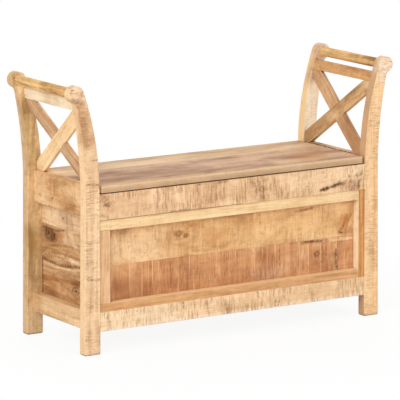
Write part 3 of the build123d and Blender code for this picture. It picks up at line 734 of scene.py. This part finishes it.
def end_middle_marks():
    face = left_face("panel_left_middle")
    return [
        *face.tint([(0.112, 0.282), (0.070, 0.278)], 0.030, UMBER, 1.0),
        *face.path([(0.114, 0.292), (0.112, 0.272)], 0.013, KNOT, 0.9),
        *face.path([(0.098, 0.290), (0.100, 0.272)], 0.013, KNOT, 0.9),
        *face.path([(0.084, 0.288), (0.084, 0.270)], 0.013, CRACK_AND_GAP_SHADE, 0.95),
        *face.path([(0.074, 0.284), (0.072, 0.270)], 0.012, CRACK_AND_GAP_SHADE, 0.95),
        *face.path([(0.130, 0.296), (0.060, 0.294), (0.022, 0.302)], 0.005, KNOT, 0.8),
        *face.path([(0.058, 0.288), (0.030, 0.284)], 0.012, RUST, 0.7),
        *face.path([(0.134, 0.249), (0.049, 0.263)], 0.005, OCHRE, 0.7),
        *face.path([(0.126, 0.244), (0.049, 0.258)], 0.005, UMBER, 0.7),
        *face.tint([(0.020, 0.280), (-0.064, 0.276)], 0.030, PALE, 0.45),
        *face.path([(0.141, 0.222), (0.113, 0.239), (0.081, 0.251), (0.017, 0.261), (-0.064, 0.261)],
                   0.007, UMBER, 0.7),
        *face.path([(0.120, 0.226), (0.080, 0.242), (0.020, 0.250), (-0.064, 0.248)], 0.006, OCHRE, 0.6),
        *face.path([(0.138, 0.212), (0.100, 0.226), (0.050, 0.236), (-0.020, 0.238), (-0.064, 0.236)],
                   0.007, UMBER, 0.7),
        *face.path([(0.110, 0.216), (0.060, 0.224), (0.020, 0.224)], 0.006, UMBER, 0.6),
        *face.tint([(-0.010, 0.224), (-0.056, 0.225)], 0.010, PALE, 0.8),
        *face.path([(0.135, 0.208), (0.068, 0.204), (0.000, 0.207), (-0.064, 0.216)], 0.007, KNOT, 0.65),
        *face.path([(0.128, 0.200), (0.068, 0.196), (0.000, 0.199), (-0.064, 0.208)], 0.006, PALE, 0.5),
        # Painted shade line at the board's rear end, for the gap beside the rear post
        *face.path([(0.1355, 0.200), (0.1355, 0.178)], 0.006, CRACK_AND_GAP_SHADE, 0.95),
    ]


def end_lower_marks():
    face = left_face("panel_left_lower")
    return [
        *face.path([(0.130, 0.152), (0.060, 0.160), (0.000, 0.146), (-0.050, 0.126)], 0.007, UMBER, 0.6),
        *face.path([(0.120, 0.130), (0.050, 0.126), (-0.040, 0.118)], 0.006, UMBER, 0.6),
        *face.path([(0.100, 0.156), (0.070, 0.150)], 0.014, RUST, 0.5),
        *face.knot(-0.040, 0.149, 0.034, 0.024, 2.8, KNOT, 0.8),
        # Painted shade line at the board's rear end, for the gap beside the rear post
        *face.path([(0.1355, 0.178), (0.1355, 0.112)], 0.006, CRACK_AND_GAP_SHADE, 0.95),
    ]


def left_post_marks():
    face = front_face("post_front_left")
    return [
        *face.path([(-0.438, 0.416), (-0.443, 0.100)], 0.008, PALE, 0.55),
        *face.path([(-0.428, 0.440), (-0.428, 0.080)], 0.006, PALE, 0.6),
        *face.tint([(-0.486, 0.672), (-0.466, 0.580)], 0.042, rgb(188, 144, 104), 0.85),
        *face.tint([(-0.456, 0.540), (-0.446, 0.460)], 0.030, rgb(216, 178, 138), 0.5),
        *face.tint([(-0.474, 0.630), (-0.466, 0.560)], 0.014, UMBER, 0.45),
        *face.path([(-0.452, 0.520), (-0.430, 0.522)], 0.004, KNOT, 0.5),
        *face.path([(-0.464, 0.458), (-0.428, 0.455)], 0.004, KNOT, 0.6),
        *face.path([(-0.463, 0.205), (-0.428, 0.201)], 0.005, KNOT, 0.65),
        *face.tint([(-0.500, 0.706), (-0.488, 0.690)], 0.034, rgb(240, 208, 174), 0.7),
        *face.path([(-0.484, 0.684), (-0.474, 0.672)], 0.012, ROSE, 0.5),
        *face.path([(-0.511, 0.680), (-0.503, 0.664)], 0.006, KNOT, 0.6),
        *face.path([(-0.494, 0.670), (-0.488, 0.660)], 0.006, UMBER, 0.6),
        *face.path([(-0.498, 0.700), (-0.490, 0.704)], 0.005, UMBER, 0.5),
        *face.path([(-0.480, 0.696), (-0.476, 0.704)], 0.005, UMBER, 0.5),
        *face.path([(-0.508, 0.684), (-0.480, 0.672)], 0.009, KNOT, 0.5),
        *face.path([(-0.512, 0.702), (-0.506, 0.712)], 0.007, KNOT, 0.45),
    ]


def rear_post_marks():
    face = front_face("post_rear_left")
    return [
        *face.tint([(-0.456, 0.420), (-0.456, 0.300)], 0.030, rgb(212, 176, 128), 0.5),
        *face.tint([(-0.466, 0.280), (-0.440, 0.220)], 0.030, OLIVE, 0.4),
        *face.tint([(-0.484, 0.630), (-0.462, 0.450)], 0.026, OLIVE, 0.4),
        *face.tint([(-0.450, 0.070), (-0.450, 0.015)], 0.050, rgb(228, 196, 156), 0.65),
        *face.path([(-0.470, 0.262), (-0.432, 0.268)], 0.022, OCHRE, 0.45),
        *face.path([(-0.450, 0.350), (-0.440, 0.330)], 0.010, OLIVE, 0.5),
        *face.path([(-0.514, 0.716), (-0.498, 0.716)], 0.010, OLIVE, 0.5),
        *face.path([(-0.505, 0.703), (-0.496, 0.694)], 0.010, KNOT, 0.65),
        *face.path([(-0.462, 0.160), (-0.446, 0.150)], 0.012, OLIVE, 0.5),
        *face.path([(-0.456, 0.245), (-0.440, 0.236)], 0.016, OCHRE, 0.4),
        *face.path([(-0.445, 0.613), (-0.449, 0.505)], 0.014, UMBER, 0.5),
        *face.path([(-0.460, 0.200), (-0.440, 0.120)], 0.018, GREY, 0.4),
    ]


def lid_front_marks():
    face = top_face("lid_board_front")
    edge = front_face("lid_board_front")
    return [
        # Painted highlight along the lid's rounded top front edge, and painted shade on the lower part of its
        # front face
        *edge.band((-0.425, 0.4490), (0.425, 0.4490), 0.008, PALE, 0.45),
        *edge.band((-0.425, 0.4345), (0.425, 0.4345), 0.006, rgb(168, 136, 96), 0.45),
        *face.tint([(0.180, -0.110), (0.460, -0.110)], 0.070, rgb(226, 190, 156), 0.85),
        *face.tint([(-0.400, -0.146), (-0.100, -0.150)], 0.032, rgb(216, 178, 142), 0.7),
        *face.tint([(0.000, -0.085), (0.110, -0.085)], 0.050, rgb(214, 174, 142), 0.8),
        *face.tint([(0.250, -0.110), (0.310, -0.108)], 0.044, rgb(206, 150, 96), 0.6),
        *face.tint([(-0.310, -0.092), (-0.090, -0.090)], 0.042, rgb(146, 112, 82), 0.7),
        *face.path([(0.262, -0.084), (0.335, -0.088)], 0.030, RUST, 0.5),
        *face.path([(0.150, -0.080), (0.420, -0.120)], 0.010, rgb(176, 132, 102), 0.4),
    ]


def lid_middle_marks():
    face = top_face("lid_board_middle")
    return [
        *face.tint([(0.140, -0.010), (0.460, -0.010)], 0.070, rgb(224, 186, 150), 0.8),
        *face.tint([(-0.420, 0.020), (-0.060, 0.024)], 0.050, rgb(224, 188, 156), 0.85),
        *face.tint([(0.010, -0.040), (0.130, -0.030)], 0.050, rgb(216, 176, 144), 0.8),
        *face.tint([(-0.300, -0.052), (-0.090, -0.050)], 0.034, rgb(144, 110, 80), 0.75),
        *face.tint([(-0.420, 0.044), (0.460, 0.044)], 0.034, rgb(216, 182, 146), 0.75),
        *face.path([(0.270, -0.040), (0.360, -0.020)], 0.034, RUST, 0.5),
        *face.path([(0.053, 0.020), (0.128, 0.009)], 0.006, UMBER, 0.6),
        *face.path([(0.120, 0.020), (0.420, 0.000)], 0.012, rgb(170, 126, 96), 0.4),
    ]


def lid_back_marks():
    face = top_face("lid_board_back")
    return [
        *face.tint([(-0.420, 0.090), (-0.100, 0.080)], 0.050, rgb(232, 198, 162), 0.7),
        *face.tint([(0.180, 0.100), (0.300, 0.098)], 0.046, rgb(182, 146, 114), 0.7),
    ]


def right_rail_shade_marks():
    face = left_face("rail_seat_end_right")
    # Painted shade line along the inner top edge, in the gap beside the lid's end
    return [*face.path([(-0.130, 0.4485), (0.130, 0.4485)], 0.006, CRACK_AND_GAP_SHADE, 0.9)]


def front_right_marks():
    front = front_face("post_front_right")
    side = left_face("post_front_right")
    return [
        *front.tint([(0.484, 0.704), (0.496, 0.680)], 0.044, rgb(244, 226, 203), 0.85),
        *side.tint([(-0.145, 0.560), (-0.145, 0.460)], 0.030, rgb(226, 174, 130), 0.55),
    ]


def right_post_marks():
    face = front_face("post_rear_right")
    return [
        *face.tint([(0.478, 0.715), (0.452, 0.640)], 0.050, rgb(190, 150, 118), 0.85),
        *face.path([(0.432, 0.597), (0.431, 0.560)], 0.003, CRACK_AND_GAP_SHADE, 0.9),
    ]


def rising_right_marks():
    face = left_face("brace_rising_right")
    return [
        *face.tint([(0.130, 0.455), (0.060, 0.520)], 0.070, rgb(166, 122, 80), 0.8),
        *face.tint([(0.010, 0.565), (-0.010, 0.580)], 0.040, OCHRE, 0.4),
    ]


def falling_right_marks():
    face = left_face("brace_falling_right")
    return [
        *face.tint([(0.110, 0.640), (0.020, 0.560)], 0.060, rgb(222, 180, 132), 0.6),
        *face.tint([(-0.070, 0.510), (-0.130, 0.455)], 0.060, rgb(172, 122, 80), 0.7),
    ]


def rising_left_marks():
    face = left_face("brace_rising_left")
    return [*face.tint([(0.040, 0.540), (-0.090, 0.650)], 0.060, rgb(214, 168, 120), 0.45)]


def foot_shade_marks(node):
    """Painted shade round the lower edge of a post, for its contact shadow."""
    low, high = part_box(node)
    side = 1 if node.endswith("right") else -1
    inner = side * FOOT_INNER
    outer = side * FOOT_OUTER
    corners = [(inner, low.y), (outer, low.y), (outer, high.y), (inner, high.y)]
    points = [Vector((x, y, 0)) for x, y in corners]
    sides = zip(points, points[1:] + points[:1])
    return [Stroke(start, end, FOOT_SHADE_REACH, SHADE_BROWN, FOOT_SHADE_SHARE) for start, end in sides]


MARKS = {
    "rail_seat_end_right": right_rail_shade_marks(),
    "post_rear_right": right_post_marks(),
    "post_front_right": front_right_marks(),
    "brace_rising_right": rising_right_marks(),
    "brace_falling_right": falling_right_marks(),
    "brace_rising_left": rising_left_marks(),
    "rail_front_top": top_rail_marks(),
    "rail_front_low": low_rail_marks(),
    "panel_front_upper": upper_panel_marks(),
    "panel_front_lower": lower_panel_marks(),
    "rail_seat_end_left": seat_end_marks(),
    "panel_left_upper": end_upper_marks(),
    "panel_left_middle": end_middle_marks(),
    "panel_left_lower": end_lower_marks(),
    "post_front_left": left_post_marks(),
    "post_rear_left": rear_post_marks(),
    "lid_board_front": lid_front_marks(),
    "lid_board_middle": lid_middle_marks(),
    "lid_board_back": lid_back_marks(),
}
for post in ("post_front_left", "post_front_right", "post_rear_left", "post_rear_right"):
    MARKS[post] += foot_shade_marks(post)


# Boards: their look and the directions along and across their grain
BOARDS = {
    "post_front_left": (POST_PALE, Z, X),
    "post_front_right": (POST_HONEY, Z, X),
    "post_rear_left": (POST_BROWN, Z, X),
    "post_rear_right": (POST_CREAM, Z, X),
    "rail_front_top": (RAIL_TOP, X, Z),
    "rail_front_low": (RAIL_LOW, X, Z),
    "rail_back_top": (RAIL_TOP, X, Z),
    "rail_back_low": (RAIL_LOW, X, Z),
    "rail_seat_end_left": (RAIL_END, Y, Z),
    "rail_seat_end_right": (RAIL_END, Y, Z),
    "rail_low_end_left": (RAIL_END_LOW, Y, Z),
    "rail_low_end_right": (RAIL_END_LOW, Y, Z),
    "arm_bar_left": (BAR, Y, Z),
    "arm_bar_right": (BAR, Y, Z),
    "arm_rail_left": (ARM_PALE, Y, Z),
    "arm_rail_right": (ARM_TAN, Y, Z),
    "panel_front_upper": (PANEL_HONEY, X, Z),
    "panel_front_lower": (PANEL_RUST, X, Z),
    "panel_back_upper": (PANEL_HONEY, X, Z),
    "panel_back_lower": (PANEL_RUST, X, Z),
    "panel_left_upper": (PANEL_PALE, Y, Z),
    "panel_left_middle": (PANEL_TAN, Y, Z),
    "panel_left_lower": (PANEL_CHESTNUT, Y, Z),
    "panel_right_upper": (PANEL_PALE, Y, Z),
    "panel_right_middle": (PANEL_TAN, Y, Z),
    "panel_right_lower": (PANEL_CHESTNUT, Y, Z),
    "strip_top": (STRIP_PALE, X, Z),
    "strip_low": (STRIP_TAN, X, Z),
    "strip_left": (STRIP_CREAM, Z, X),
    "strip_right": (STRIP_RUST, Z, X),
    "lid_board_front": (LID_BROWN, X, Y),
    "lid_board_middle": (LID_BROWN, X, Y),
    "lid_board_back": (LID_PALE, X, Y),
    "lid_batten_left": (INSIDE, Y, X),
    "lid_batten_right": (INSIDE, Y, X),
    "bearer_front": (INSIDE, X, Z),
    "bearer_back": (INSIDE, X, Z),
    "floor_front": (INSIDE, X, Y),
    "floor_middle": (INSIDE, X, Y),
    "floor_back": (INSIDE, X, Y),
}


def brace_axes(node, rising):
    """Directions along and across a brace, from the corners of its box."""
    low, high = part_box(node)
    size = high - low
    outward = -1 if node.endswith("left") else 1
    to_front = -1 if rising else 1
    along = Vector((outward * size.x, to_front * size.y, size.z)).normalized()
    through = Vector((outward * size.z, 0, -size.x)).normalized()
    return along, through.cross(along).normalized()


BRACE_LOOKS = {
    "brace_rising_left": BRACE_PALE,
    "brace_falling_left": BRACE_BROWN,
    "brace_rising_right": BRACE_OLIVE,
    "brace_falling_right": BRACE_TAN,
}
for node, look in BRACE_LOOKS.items():
    BOARDS[node] = (look, *brace_axes(node, "rising" in node))


def dress(node, material):
    """Gives a node's object one material in place of its plain one."""
    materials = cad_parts[node].data.materials
    materials.clear()
    materials.append(material)


for seed, (node, (look, along, across)) in enumerate(BOARDS.items(), start=1):
    dress(node, wood(f"wood_{node}", look, along, across, seed, MARKS.get(node, ())))

brass = metal("brass", rgb(206, 168, 98), rgb(150, 112, 60), roughness=0.32, seed=61)
steel = metal("steel", rgb(196, 194, 190), rgb(150, 148, 146), roughness=0.34, seed=62)
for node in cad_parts:
    if node.startswith("hinge"):
        dress(node, brass)
    if node.startswith("screws"):
        dress(node, steel)


def seen_share(graph):
    """1 for rays from the camera, also by way of a mirror or glass, and 0 for those that carry light."""
    path = graph.node("ShaderNodeLightPath").outputs
    seen = graph.math("ADD", path["Is Camera Ray"], path["Is Glossy Ray"])
    return graph.math("ADD", seen, path["Is Transmission Ray"], clamp=True)


def make_floor():
    corners = [(-1, -1), (1, -1), (1, 1), (-1, 1)]
    mesh = bpy.data.meshes.new("floor_sheet")
    mesh.from_pydata([(x * FLOOR_HALF, y * FLOOR_HALF, 0.0) for x, y in corners], [], [(0, 1, 2, 3)])
    floor = bpy.data.objects.new("floor_sheet", mesh)
    bpy.context.scene.collection.objects.link(floor)
    graph = material_graph("floor_white")
    diffuse = graph.node("ShaderNodeBsdfDiffuse")
    diffuse.inputs["Color"].default_value = FLOOR_TONE
    glow = graph.node("ShaderNodeEmission")
    glow.inputs["Color"].default_value = WHITE
    glow.inputs["Strength"].default_value = 1.0
    clear = graph.node("ShaderNodeBsdfTransparent")
    from_middle = graph.vector("LENGTH", graph.node("ShaderNodeTexCoord").outputs["Object"])
    glow_share = graph.span(from_middle, SHADOW_NEAR, SHADOW_FAR, 1 - FLOOR_SHADOW, 1.0, smooth=True)
    pale_share = graph.math("MULTIPLY", seen_share(graph), glow_share)
    pale = graph.mix_shader(pale_share, diffuse.outputs[0], glow.outputs[0])
    behind = graph.node("ShaderNodeNewGeometry").outputs["Backfacing"]
    mesh.materials.append(graph.finish(graph.mix_shader(behind, pale, clear.outputs[0])))


def make_world():
    graph = Graph(bpy.data.worlds.new("studio"), "ShaderNodeOutputWorld")
    background = graph.node("ShaderNodeBackground")
    background.inputs["Color"].default_value = WHITE
    strength = graph.span(seen_share(graph), 0.0, 1.0, AMBIENT, 1.0)
    graph.feed(background.inputs["Strength"], strength)
    bpy.context.scene.world = graph.finish(background.outputs[0])


def make_light(name, place, power, side):
    data = bpy.data.lights.new(name, "AREA")
    data.energy = power
    data.shape = "SQUARE"
    data.size = side
    lamp = bpy.data.objects.new(name, data)
    lamp.location = place
    lamp.rotation_euler = (LIGHT_AIM - place).to_track_quat("-Z", "Y").to_euler()
    lamp.visible_camera = False
    bpy.context.scene.collection.objects.link(lamp)


def make_camera():
    data = bpy.data.cameras.new("camera")
    data.lens = CAMERA_LENS
    data.sensor_width = CAMERA_SENSOR
    data.clip_end = CAMERA_FAR
    camera = bpy.data.objects.new("camera", data)
    camera.location = CAMERA_PLACE
    camera.rotation_euler = (math.pi / 2 + CAMERA_PITCH, 0.0, -CAMERA_YAW)
    bpy.context.scene.collection.objects.link(camera)
    bpy.context.scene.camera = camera


make_floor()
make_world()
for light_name, settings in LIGHTS.items():
    make_light(light_name, *settings)
make_camera()
bpy.context.scene.view_settings.view_transform = "Standard"
